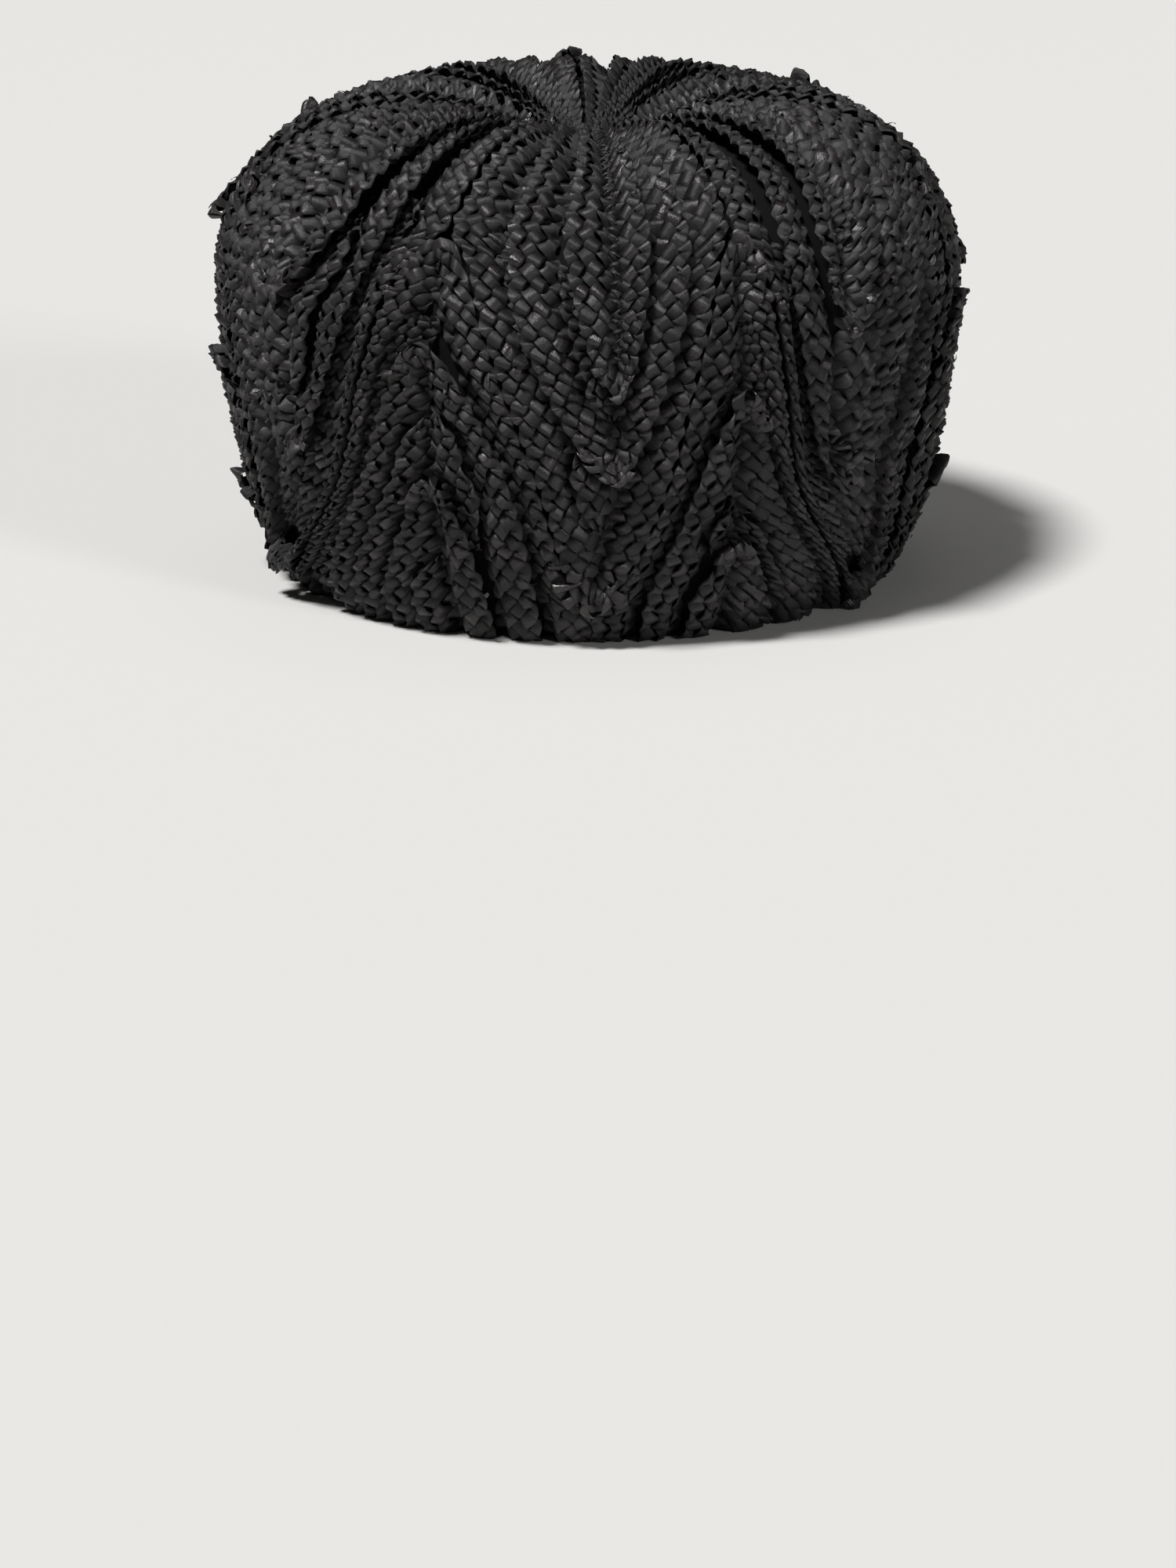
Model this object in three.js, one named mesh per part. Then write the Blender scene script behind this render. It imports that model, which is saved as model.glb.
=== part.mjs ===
// Raffia hat: a hollow, dimpled cap dressed with nested folded loops of flat braid.
// Millimetres, +Z up, front towards -Y. The rim stands on Z = 0.
import * as THREE from "three";

// Cap sizes, over its outside and without the braids
const RIM_HALF_WIDTH = 82.5;
const BODY_HALF_WIDTH = 110;
const WIDEST_HEIGHT = 95;
const CREST_HEIGHT = 143.5;
const CREST_HALF_WIDTH = 56;
const DIMPLE_DEPTH = 14;
const DEPTH_TO_WIDTH = 1.1;
const WALL_ROUNDNESS = 1.8;
const CAP_WALL = 1.6;
const RIM_FACE = 3;

// Braid sizes
const BRAID_THICKNESS = 1.8;
const SELVEDGE_LIFT = 1.1;
const NEST_LIFT = 0.6;
const BRAID_GAP = 0.5;
const CAP_CLEARANCE = 0.6;
const FOLD_LENGTH = 12;
const FOLD_DRAWN_IN = 1;
const FOLD_ROUNDNESS = 0.6;
const CROTCH_SHARE = 0.85;
const SEAM_GAP = 0.8;
const GATHER_HALF_WIDTH = 14;
const HEM_HEIGHT = 0.4;
const HEM_PATH = 4;

// Folds stand off the cap, and some legs stand on edge as ribs
const FOLD_STAND = 6.5;
const FOLD_STAND_REACH = 24;
const RIB_WIDTH = 5;
const RIB_THICKNESS = 4.2;
const RIB_FADE = 20;

// Facets
const FACETS_ROUND = 44;
const WALL_STEPS = 9;
const SHOULDER_STEPS = 6;
const DIMPLE_STEPS = 3;
const SECTION_SPACING = 1;

// Where a family's line bends, as shares of the way from the rim to the crest
const RIM_BEND_START = 0.08;
const RIM_BEND_END = 0.36;
const CROWN_BEND_START = 0.52;

const LEVELS = ["outer", "middle", "inner"];

// Families go round from the front towards +X. crown, wall and rim are the family's azimuths in
// degrees there. folds are the heights of its outer, middle and inner fold, as shares of the
// crest height, and stands how far they stand off, as shares of the fold stand. ribs says how
// far the outer loop's legs are set on edge.
const FALLING = [
  {
    place: "front", crown: 4, wall: 4.5, rim: 0.5,
    folds: [0.105, 0.385, 0.56],
    stands: [0.45, 0.5, 0.25],
    ribs: 0,
  },
  {
    place: "front_right", crown: 54, wall: 41, rim: 56,
    folds: [0.045, 0.32, 0.65],
    stands: [0.75, 0.35, 0.5],
    ribs: 1,
  },
  {
    place: "right", crown: 107, wall: 103, rim: 106,
    folds: [0.08, 0.37, 0.63],
    stands: [0.5, 0.4, 0.95],
    ribs: 0.4,
  },
  {
    place: "back_right", crown: 158, wall: 157, rim: 152,
    folds: [0.07, 0.33, 0.6],
    stands: [0.6, 0.4, 0.4],
    ribs: 1,
  },
  {
    place: "back_left", crown: 210, wall: 212, rim: 216,
    folds: [0.1, 0.36, 0.57],
    stands: [0.4, 0.5, 0.35],
    ribs: 0,
  },
  {
    place: "left", crown: 260, wall: 259, rim: 254,
    folds: [0.08, 0.41, 0.72],
    stands: [0.5, 0.4, 1],
    ribs: 0.5,
  },
  {
    place: "front_left", crown: 311, wall: 307, rim: 293,
    folds: [0.085, 0.36, 0.71],
    stands: [1, 0.3, 0.4],
    ribs: 1,
  },
];
const RISING = [
  {
    place: "front_right", crown: 24, wall: 24, rim: 25,
    folds: [0.85, 0.56, 0.25],
    stands: [0.2, 0.35, 0.4],
  },
  {
    place: "right_front", crown: 81, wall: 80, rim: 84,
    folds: [0.89, 0.65, 0.28],
    stands: [0.5, 0.4, 0.5],
  },
  {
    place: "right_back", crown: 133, wall: 131, rim: 130,
    folds: [0.945, 0.58, 0.3],
    stands: [0.8, 0.4, 0.4],
  },
  {
    place: "back", crown: 184, wall: 185, rim: 184,
    folds: [0.985, 0.6, 0.28],
    stands: [0.5, 0.4, 0.5],
  },
  {
    place: "left_back", crown: 241, wall: 237, rim: 236,
    folds: [0.9, 0.57, 0.26],
    stands: [1, 0.4, 0.4],
  },
  {
    place: "left_front", crown: 286, wall: 280, rim: 272,
    folds: [0.87, 0.53, 0.24],
    stands: [0.4, 0.5, 0.4],
  },
  {
    place: "front_left", crown: 339, wall: 335, rim: 335,
    folds: [0.85, 0.67, 0.39],
    stands: [0.2, 0.3, 0.5],
  },
];

const { clamp, degToRad, lerp, smoothstep } = THREE.MathUtils;
const FULL_TURN = 360;

// The cap's half outline from the rim up to the crest and in to the dimple's centre: a
// superelliptic wall, an elliptic shoulder and a cosine dimple, each from its own share 0..1.
function wallPoint(share) {
  const turn = (share * Math.PI) / 2;
  const power = 2 / WALL_ROUNDNESS;
  const out = Math.sin(turn) ** power;
  const up = 1 - Math.max(Math.cos(turn), 0) ** power;
  return new THREE.Vector2(lerp(RIM_HALF_WIDTH, BODY_HALF_WIDTH, out), WIDEST_HEIGHT * up);
}

function shoulderPoint(share) {
  const turn = (share * Math.PI) / 2;
  return new THREE.Vector2(
    lerp(CREST_HALF_WIDTH, BODY_HALF_WIDTH, Math.cos(turn)),
    lerp(WIDEST_HEIGHT, CREST_HEIGHT, Math.sin(turn)),
  );
}

function dimplePoint(share) {
  const drop = 1 - Math.cos((share * Math.PI) / 2);
  return new THREE.Vector2(CREST_HALF_WIDTH * (1 - share), CREST_HEIGHT - DIMPLE_DEPTH * drop);
}

// The outline in straight steps, from the rim to the dimple's centre. Each station holds its
// point, its path length from the rim, its outward direction and the families' azimuths there.
const stations = [];
for (const [piece, steps] of [
  [wallPoint, WALL_STEPS],
  [shoulderPoint, SHOULDER_STEPS],
  [dimplePoint, DIMPLE_STEPS],
]) {
  for (let i = stations.length ? 1 : 0; i <= steps; i++) {
    const at = piece(i / steps);
    const before = stations.at(-1);
    stations.push({ at, path: before ? before.path + at.distanceTo(before.at) : 0 });
  }
}
stations.forEach((station, i) => {
  const [before, after] = [stations[Math.max(i - 1, 0)], stations[Math.min(i + 1, stations.length - 1)]];
  const along = after.at.clone().sub(before.at).normalize();
  station.out = new THREE.Vector2(along.y, -along.x);
});

const SHOULDER_PATH = stations[WALL_STEPS].path;
const CREST_PATH = stations[WALL_STEPS + SHOULDER_STEPS].path;

// A family's azimuth at a path length, before it is cut into straight steps
function curvedAzimuth(family, path) {
  const low = smoothstep(path, RIM_BEND_START * CREST_PATH, RIM_BEND_END * CREST_PATH);
  const high = smoothstep(path, CROWN_BEND_START * CREST_PATH, CREST_PATH);
  return family.rim + (family.wall - family.rim) * low + (family.crown - family.wall) * high;
}

// The stations on both sides of a path length, and the share of the way between them
function between(path) {
  const after = Math.max(stations.findIndex((station) => station.path >= path), 1);
  const [a, b] = [stations[after - 1], stations[after]];
  return { a, b, share: (path - a.path) / (b.path - a.path) };
}

function outlineAt(path) {
  const { a, b, share } = between(path);
  return { at: a.at.clone().lerp(b.at, share), out: a.out.clone().lerp(b.out, share) };
}

function familyAzimuth(family, path) {
  const { a, b, share } = between(path);
  return lerp(curvedAzimuth(family, a.path), curvedAzimuth(family, b.path), share);
}

// The path length at a height between the rim and the crest
function pathAtHeight(height) {
  const i = stations.findIndex((station) => station.at.y >= height);
  const [a, b] = [stations[i - 1], stations[i]];
  return lerp(a.path, b.path, (height - a.at.y) / (b.at.y - a.at.y));
}

// The path length in the dimple where the falling braids are gathered
function gatherPath() {
  const i = stations.findIndex((s) => s.path > CREST_PATH && s.at.x <= GATHER_HALF_WIDTH);
  const [a, b] = [stations[i - 1], stations[i]];
  return lerp(a.path, b.path, (a.at.x - GATHER_HALF_WIDTH) / (a.at.x - b.at.x));
}
const GATHER_PATH = gatherPath();

// A point on the cap at a path length and azimuth in degrees, moved out along its normal
function onCap(path, azimuth, height) {
  const { at, out } = outlineAt(path);
  const turn = degToRad(azimuth);
  const point = new THREE.Vector3(at.x * Math.sin(turn), -DEPTH_TO_WIDTH * at.x * Math.cos(turn), at.y);
  const normal = new THREE.Vector3(
    DEPTH_TO_WIDTH * out.x * Math.sin(turn),
    -out.x * Math.cos(turn),
    DEPTH_TO_WIDTH * out.y,
  );
  return point.addScaledVector(normal.normalize(), height);
}

// Millimetres along the cap for one degree of azimuth
function millimetresPerDegree(path, azimuth) {
  const turn = degToRad(azimuth);
  return degToRad(outlineAt(path).at.x) * Math.hypot(Math.cos(turn), DEPTH_TO_WIDTH * Math.sin(turn));
}

// How high an arc of this radius rises over its chord
const arcRise = (chord, radius) => chord ** 2 / (8 * radius);

// One closed mesh from vertices and quads, whose corners run anticlockwise seen from outside
function closedGeometry(vertices, faces) {
  const geometry = new THREE.BufferGeometry();
  geometry.setAttribute("position", new THREE.Float32BufferAttribute(vertices.flatMap((v) => v.toArray()), 3));
  geometry.setIndex(faces.flatMap(([a, b, c, d]) => (d === undefined ? [a, b, c] : [a, b, c, a, c, d])));
  geometry.computeVertexNormals();
  return geometry;
}

// The cap: an outer and an inner skin over the same rings, joined by a flat face at the rim
function capGeometry() {
  const rings = stations.slice(0, -1);
  const vertices = [];
  for (const inside of [false, true]) {
    for (const { path } of rings) {
      for (let j = 0; j < FACETS_ROUND; j++) {
        const azimuth = (j * FULL_TURN) / FACETS_ROUND;
        const point = onCap(path, azimuth, inside && path > 0 ? -CAP_WALL : 0);
        if (inside && path === 0) {
          const share = 1 - RIM_FACE / RIM_HALF_WIDTH;
          point.set(point.x * share, point.y * share, 0);
        }
        vertices.push(point);
      }
    }
  }
  const inner = rings.length * FACETS_ROUND;
  const [outerPole, innerPole] = [vertices.length, vertices.length + 1];
  const pole = CREST_HEIGHT - DIMPLE_DEPTH;
  vertices.push(new THREE.Vector3(0, 0, pole), new THREE.Vector3(0, 0, pole - CAP_WALL));
  const faces = [];
  for (let j = 0; j < FACETS_ROUND; j++) {
    const next = (j + 1) % FACETS_ROUND;
    faces.push([inner + j, inner + next, next, j]);
    for (let i = 0; i + 1 < rings.length; i++) {
      const [low, high] = [i * FACETS_ROUND, (i + 1) * FACETS_ROUND];
      faces.push([low + j, low + next, high + next, high + j]);
      faces.push([inner + low + next, inner + low + j, inner + high + j, inner + high + next]);
    }
    const last = (rings.length - 1) * FACETS_ROUND;
    faces.push([last + j, last + next, outerPole]);
    faces.push([inner + last + next, inner + last + j, innerPole]);
  }
  return closedGeometry(vertices, faces);
}

const familiesOf = (kind) => (kind === "fall" ? FALLING : RISING);

// Falling loops run up from their folds, and rising loops down
const wayOf = (kind) => (kind === "fall" ? 1 : -1);

const foldPath = (family, level) => pathAtHeight(family.folds[level] * CREST_HEIGHT);

// The family of the other kind beside this one, on side -1 or +1, with the turn that unwraps it
function neighbour(kind, index, side) {
  const others = familiesOf(kind === "fall" ? "rise" : "fall");
  const step = kind === "fall" ? Math.min(side, 0) : Math.max(side, 0);
  const place = index + step;
  const count = others.length;
  return {
    family: others[(place + count) % count],
    unwrap: place < 0 ? -FULL_TURN : place >= count ? FULL_TURN : 0,
  };
}

// How far a nested line lies from its family's own line, in degrees. Line 0 is the border with
// the next family, shared by both, lines 1 and 2 the borders between nested loops, and line 3
// the seam down the middle. Each opens in a U from the fold of the loop that it bounds.
function curvedOffset(kind, index, side, line, path) {
  const family = familiesOf(kind)[index];
  const beside = neighbour(kind, index, side);
  const span = familyAzimuth(beside.family, path) + beside.unwrap - familyAzimuth(family, path);
  const own = foldPath(family, line);
  const far = foldPath(beside.family, 0);
  const share = clamp((path - own) / (far - own), 0, 1);
  const open = line === 0 ? 0.5 + Math.asin(2 * share - 1) / Math.PI : share ** FOLD_ROUNDNESS;
  return span * open * (1 - line / LEVELS.length);
}

// The places where a line bends besides the stations
function lineBends(kind, index, side, line) {
  const way = wayOf(kind);
  const own = foldPath(familiesOf(kind)[index], line);
  if (line > 0) return [own, own + way * FOLD_LENGTH];
  const far = foldPath(neighbour(kind, index, side).family, 0);
  return [own, own + way * FOLD_LENGTH, far, far - way * FOLD_LENGTH];
}

// The same line in straight steps between its bends, so that loops on its two sides fit
function lineOffset(kind, index, side, line, path) {
  if (line === LEVELS.length) return 0;
  const knots = [...stations.map((station) => station.path), ...lineBends(kind, index, side, line)];
  const low = Math.max(...knots.filter((knot) => knot <= path));
  const high = Math.min(...knots.filter((knot) => knot >= path));
  const [from, to] = [low, high].map((knot) => curvedOffset(kind, index, side, line, knot));
  return high > low ? lerp(from, to, (path - low) / (high - low)) : from;
}

// Path lengths of a leg's sections: the cap's stations between the fork and the far end, and
// every place where one of the leg's borders bends
function legPaths(kind, index, side, level) {
  const way = wayOf(kind);
  const fork = foldPath(familiesOf(kind)[index], level) + way * FOLD_LENGTH;
  const end = kind === "fall" ? GATHER_PATH : HEM_PATH;
  const bends = [fork, end, ...lineBends(kind, index, side, level)];
  if (level + 1 < LEVELS.length) bends.push(...lineBends(kind, index, side, level + 1));
  const inLeg = (path) => way * (path - fork) >= 0 && way * (end - path) >= 0;
  const kept = bends.filter(inLeg);
  const all = [...kept, ...stations.map((station) => station.path).filter(inLeg)];
  all.sort((a, b) => way * (b - a));
  return all.filter((path, i) => i === 0 || Math.abs(path - all[i - 1]) > SECTION_SPACING);
}

// One braid loop: a closed strip that comes along one leg, turns at the fold and goes back along
// the other leg. Its selvedge side is proud and its nested side lies lower.
function loopGeometry(kind, index, level) {
  const family = familiesOf(kind)[index];
  const way = wayOf(kind);
  const fold = foldPath(family, level);
  const ribs = level === 0 ? (family.ribs ?? 0) : 0;
  const sections = [];

  const addSection = (outer, inner) => {
    const reach = way * (outer.path - fold);
    const stand = FOLD_STAND * family.stands[level] * Math.max(0, 1 - reach / FOLD_STAND_REACH) ** 2;
    const onEdge = ribs * (1 - smoothstep(outer.path, SHOULDER_PATH, SHOULDER_PATH + RIB_FADE));
    const flat = BRAID_THICKNESS + NEST_LIFT * level;
    const width = (outer.azimuth - inner.azimuth) * millimetresPerDegree(outer.path, outer.azimuth);
    const bulge = arcRise(width, outlineAt(outer.path).at.x);
    const low = CAP_CLEARANCE + bulge + stand;
    const proud = low + lerp(flat + SELVEDGE_LIFT, RIB_THICKNESS, onEdge);
    const sunk = low + lerp(flat, RIB_THICKNESS, onEdge);
    const corners = [
      onCap(outer.path, outer.azimuth, low),
      onCap(outer.path, outer.azimuth, proud),
      onCap(inner.path, inner.azimuth, sunk),
      onCap(inner.path, inner.azimuth, low),
    ];
    for (const corner of corners) corner.z = Math.max(corner.z, HEM_HEIGHT);
    sections.push(corners);
  };

  const legEdges = (side, path) => {
    const centre = familyAzimuth(family, path);
    const scale = millimetresPerDegree(path, centre);
    const reach = way * (path - fold) / FOLD_STAND_REACH;
    const trim = BRAID_GAP / 2 + FOLD_DRAWN_IN * Math.max(0, 1 - reach);
    const outerShift = Math.abs(lineOffset(kind, index, side, level, path)) - trim / scale;
    const innerShift = Math.max(
      Math.abs(lineOffset(kind, index, side, level + 1, path)) + BRAID_GAP / 2 / scale,
      SEAM_GAP / 2 / scale,
    );
    const onEdge = ribs * (1 - smoothstep(path, SHOULDER_PATH, SHOULDER_PATH + RIB_FADE));
    const ribShift = Math.max(innerShift, outerShift - RIB_WIDTH / scale);
    return {
      outer: { path, azimuth: centre + side * outerShift },
      inner: { path, azimuth: centre + side * lerp(innerShift, ribShift, onEdge) },
    };
  };

  const paths = { "-1": legPaths(kind, index, -1, level), 1: legPaths(kind, index, 1, level) };
  for (const path of paths[-1]) {
    const edges = legEdges(-1, path);
    addSection(edges.outer, edges.inner);
  }
  const tip = { path: fold, azimuth: familyAzimuth(family, fold) };
  const crotch = { path: fold + way * FOLD_LENGTH * CROTCH_SHARE, azimuth: tip.azimuth };
  addSection(tip, crotch);
  for (const path of paths[1].toReversed()) {
    const edges = legEdges(1, path);
    addSection(edges.outer, edges.inner);
  }

  const faces = [];
  const last = sections.length - 1;
  for (let i = 0; i < last; i++) {
    for (let k = 0; k < 4; k++) {
      const next = (k + 1) % 4;
      faces.push([4 * i + k, 4 * i + next, 4 * i + 4 + next, 4 * i + 4 + k]);
    }
  }
  faces.push([3, 2, 1, 0], [4 * last, 4 * last + 1, 4 * last + 2, 4 * last + 3]);
  const turned = kind === "fall" ? faces.map((face) => face.toReversed()) : faces;
  return closedGeometry(sections.flat(), turned);
}

function clothMaterial() {
  return new THREE.MeshStandardMaterial({ color: 0x141314, roughness: 0.85, metalness: 0 });
}

function raffiaMaterial() {
  return new THREE.MeshStandardMaterial({ color: 0x232122, roughness: 0.5, metalness: 0 });
}

const hat = new THREE.Group();

const cap = new THREE.Mesh(capGeometry(), clothMaterial());
cap.name = "cap_shell";
hat.add(cap);

for (const [kind, families] of [["fall", FALLING], ["rise", RISING]]) {
  families.forEach((family, index) => {
    LEVELS.forEach((name, level) => {
      const loop = new THREE.Mesh(loopGeometry(kind, index, level), raffiaMaterial());
      loop.name = `${kind}_${family.place}_${name}`;
      hat.add(loop);
    });
  });
}

// The hat stands centred over the origin
const box = new THREE.Box3().setFromObject(hat);
const centre = box.getCenter(new THREE.Vector3());
hat.position.set(-centre.x, -centre.y, -box.min.z);

export default hat;
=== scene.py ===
"""Black raffia hat: plaited loops sewn on a dimpled cloth cap.

Lengths are millimetres until a mesh is made. An azimuth is in degrees, 0 at the front (-Y) and growing
towards +X. A path length is measured over the cap from the rim up the wall, over the crest and down to
the middle of the dimple. Across a braid, 0 is its inner edge, tucked under the next row, and 1 its outer
edge.
"""

import math
from collections import namedtuple

import bpy
import numpy as np
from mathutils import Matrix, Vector


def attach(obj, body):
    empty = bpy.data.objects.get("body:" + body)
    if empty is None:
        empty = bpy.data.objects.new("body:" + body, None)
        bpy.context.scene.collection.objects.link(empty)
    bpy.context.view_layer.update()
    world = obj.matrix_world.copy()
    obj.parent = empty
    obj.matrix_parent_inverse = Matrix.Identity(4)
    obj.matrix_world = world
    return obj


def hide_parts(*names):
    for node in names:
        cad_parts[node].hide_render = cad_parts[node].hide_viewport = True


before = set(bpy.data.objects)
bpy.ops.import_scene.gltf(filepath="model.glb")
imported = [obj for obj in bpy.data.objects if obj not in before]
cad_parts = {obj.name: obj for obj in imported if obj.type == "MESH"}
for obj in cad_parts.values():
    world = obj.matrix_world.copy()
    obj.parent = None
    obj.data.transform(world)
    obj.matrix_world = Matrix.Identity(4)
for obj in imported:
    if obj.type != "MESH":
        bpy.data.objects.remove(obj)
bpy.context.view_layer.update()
MM = 0.001

# Cap, over its outside and without the braids. The frame's origin is the middle of the bottom of the box
# round all solids, and the cap's own middle stands at CAP_CENTRE. Its cloth stops PINHOLE short of the
# middle of the dimple, and has CLOTH_TO_DEGREE of thread for one degree round
RIM_HALF_WIDTH = 82.5
BODY_HALF_WIDTH = 110.0
WIDEST_HEIGHT = 95.0
CREST_HEIGHT = 143.5
CREST_HALF_WIDTH = 56.0
DIMPLE_DEPTH = 14.0
DEPTH_TO_WIDTH = 1.1
WALL_ROUNDNESS = 1.8
CAP_WALL = 1.6
RIM_FACE = 3.0
CAP_CENTRE = (-0.0205, -0.288)
OUTLINE_STEPS = 160
CAP_ROWS = 70
CAP_COLUMNS = 144
PINHOLE = 0.5
CLOTH_TO_DEGREE = 1.8

# A family is three nested loops round one line. It has its place, the line's azimuths at crown, wall and
# rim, its fold heights as shares of CREST_HEIGHT, how far the folds stand off as shares of FOLD_STAND, and
# how far its outer legs are set on edge
Family = namedtuple("Family", "place azimuths folds stands on_edge")
FALLING = [
    Family("front", (4, 4.5, 0.5), (0.105, 0.385, 0.56), (0.45, 0.5, 0.25), (0.0, 0.0)),
    Family("front_right", (54, 41, 56), (0.045, 0.32, 0.65), (0.75, 0.35, 0.5), (1.0, 1.0)),
    Family("right", (107, 103, 106), (0.08, 0.37, 0.63), (0.5, 0.4, 0.95), (0.4, 0.4)),
    Family("back_right", (158, 157, 152), (0.07, 0.33, 0.6), (0.6, 0.4, 0.4), (1.0, 1.0)),
    Family("back_left", (210, 212, 216), (0.1, 0.36, 0.57), (0.4, 0.5, 0.35), (0.0, 0.0)),
    Family("left", (260, 259, 254), (0.08, 0.41, 0.72), (0.5, 0.4, 1.0), (0.5, 0.5)),
    Family("front_left", (311, 307, 293), (0.085, 0.36, 0.71), (1.0, 0.3, 0.4), (1.0, 1.0)),
]
RISING = [
    Family("front_right", (24, 24, 25), (0.85, 0.56, 0.25), (0.2, 0.35, 0.4), (0.0, 0.8)),
    Family("right_front", (81, 80, 84), (0.89, 0.65, 0.28), (0.5, 0.4, 0.5), (0.0, 0.0)),
    Family("right_back", (133, 131, 130), (0.945, 0.58, 0.3), (0.8, 0.4, 0.4), (0.0, 0.0)),
    Family("back", (184, 185, 184), (0.985, 0.6, 0.28), (0.5, 0.4, 0.5), (0.0, 0.0)),
    Family("left_back", (241, 237, 236), (0.9, 0.57, 0.26), (1.0, 0.4, 0.4), (0.0, 0.0)),
    Family("left_front", (286, 280, 272), (0.87, 0.53, 0.24), (0.4, 0.5, 0.4), (0.0, 0.0)),
    Family("front_left", (339, 335, 335), (0.85, 0.67, 0.39), (0.2, 0.3, 0.5), (0.8, 0.0)),
]
FAMILIES = {"fall": FALLING, "rise": RISING}
LEVELS = ("outer", "middle", "inner")

# Loops. WAY is the sign of path from a fold into its legs. The two bends are the stretches, as shares of
# the path to the crest, where a family's line eases from rim to wall azimuth and from wall to crown azimuth
WAY = {"fall": 1.0, "rise": -1.0}
RIM_BEND = (0.08, 0.36)
CROWN_BEND = (0.52, 1.0)
FOLD_LENGTH = 12.0
FOLD_STEPS = 12
FOLD_ROUNDNESS = 0.6
FOLD_TIP_FULLNESS = 4
CROTCH_SHARE = 0.25
FOLD_STAND = 6.5
FOLD_STAND_REACH = 24.0
DIMPLE_START = 2.0
RIM_START = 0.3

# Rows of braid on a leg. An outer edge lies EDGE_PAST_BORDER past the border that it shares, or short of it
# where that is negative. Towards the crest it draws back by CROWN_GAP more, but at most WIDEST_GAP of the
# leg. One row covers a leg up to ONE_ROW wide, and two share it evenly from TWO_ROWS
EDGE_PAST_BORDER = (0.4, -0.5, -0.5)
CROWN_GAP = (0.9, 2.2, 2.2)
WIDEST_GAP = 0.28
BRAID_WIDTH = 15.0
ONE_ROW = 15.0
TWO_ROWS = 20.0
ROW_OVERLAP = 0.5
LEAST_SHOWN = 0.5
LEAST_TUCK = 0.4
DEEPEST_TUCK = 8.5
LEAST_WIDTH = 1.2
SEEN_SPLIT = 0.02
SEEN_RIB = 0.3
LEAST_SAMPLES = 20
EASE_SAMPLES = 3
MIDDLE_LIFT = 3.0

# Section of a row: the heights over the cap of its hidden edge and of its outer edge, PROUD where it lies
# flat and SUNK beside a rib. It gains RISE_SHARE of its height within RISE_LENGTH of where it comes out from
# under the next row. SINK is how far its end is pressed in
HIDDEN_EDGE = 0.6
PROUD_EDGE = 5.6
SUNK_EDGE = 2.0
NEST_LIFT = 0.3
RISE_LENGTH = 5.0
RISE_SHARE = 0.85
SINK = {"fall": 2.2, "rise": 1.0}
RIM_SINK_LENGTH = 9
DIMPLE_SINK = (12, 2)
LOWEST_OVER_CAP = 0.25
LOWEST_OVER_FLOOR = 0.35

# Rib: a row set on edge. Its foot, lean and roll are shares of its flat width
RIB_WIDTH = 5.0
RIB_FADE = 20.0
RIB_GIRTH = 13.0
RIB_PERIOD = 31.0
RIB_FOOT_HEIGHT = 0.8
RIB_HEIGHT = 5.4
RIB_DROP = 1.2
RIB_FOOT = 0.12
RIB_LEAN = 0.18
RIB_ROLL = 0.5

# Plait of flat ribbons. A period is the length in which a strand goes across and back
STRANDS = 5
PERIOD_TO_WIDTH = 2.25
SHORTEST_PERIOD = 30.0
LONGEST_PERIOD = 37.0
SAMPLES_A_PERIOD = 38
RIBBON_FILL = 0.88
RIBBON_SECTION = np.array([-1.0, -0.88, -0.76, 0.76, 0.88, 1.0])
RIBBON_ARCH = -0.9 * np.array([1.0, 0.22, 0.0, 0.0, 0.22, 1.0])
TURN_ROUNDNESS = 0.12
TURN_START = 0.76
TURN_LIFT = 0.6
TURN_ROLL = 0.6
TURN_NARROWING = 0.3
CELL_FLATNESS = 2.4
OVER_UNDER = 1.0
CELL_TILT = 0.6
CELL_ROLL = 0.35
ROLL_TO_HEIGHT = 0.9

# How much each strand varies, and the length over which it does
WANDER, WANDER_STEP = 0.28, 5.0
WIDTH_CHANGE, WIDTH_STEP = 0.2, 3.5
ROLL_CHANGE, ROLL_STEP = 0.75, 3.2
TILT_CHANGE, TILT_STEP = 0.35, 3.0
TONE_STEP_IN_CELLS = 0.9
FIBRE_SHIFT = 517.0
SEEDS = {"fall": 1000, "rise": 1007}
SEED_STEP = 50

# Knot on a fold: short ribbons that wrap its edge
KNOT_RIBBONS = 5
KNOT_STEPS = 13
KNOT_SECTION = np.array([-1.0, -0.8, 0.0, 0.8, 1.0])
KNOT_ARCH = -np.array([0.8, 0.1, 0.0, 0.1, 0.8])
KNOT_SPACING = 2.2
KNOT_JITTER = 0.8
KNOT_SKEW = 3
KNOT_HALF_WIDTH = (0.6, 1.2)
KNOT_LOOP_CHANCE = 0.25
KNOT_LOOP_REACH = (1.5, 2.6)
KNOT_REACH = (0.3, 1.0)
KNOT_START = (2.5, 5.0)
KNOT_RISE = (2.0, 3.0)
KNOT_LENGTH = 14

# Cut ends that stick out of a plait
STRAY_SPACING = 45.0
STRAY_STEPS = 6
STRAY_END_ROOM = 8
STRAY_START = (0.45, 0.95)
STRAY_LENGTH = (2, 5)
STRAY_TURN = 1.2
STRAY_HALF_WIDTH = (0.3, 0.8)
STRAY_RISE = (1.0, 2.2)
STRAY_WAYS = [-0.4, 1]
STRAY_FIBRE = 6

# Thread stitches over the front seam
STITCH_STEPS = 7
STITCH_SPACING = 2.6
STITCH_REACH = 2.4
STITCH_SLANT = (0.5, 1.5)
STITCH_HALF_WIDTH = (0.25, 0.4)
STITCH_HEIGHT = 4.6
STITCH_DIP = 2.0
STITCH_JITTER = 0.3
STITCH_TONE = 0.3
SEAM_TOP = 22.0
THREE_ACROSS = np.array([-1.0, 0.0, 1.0])

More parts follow.
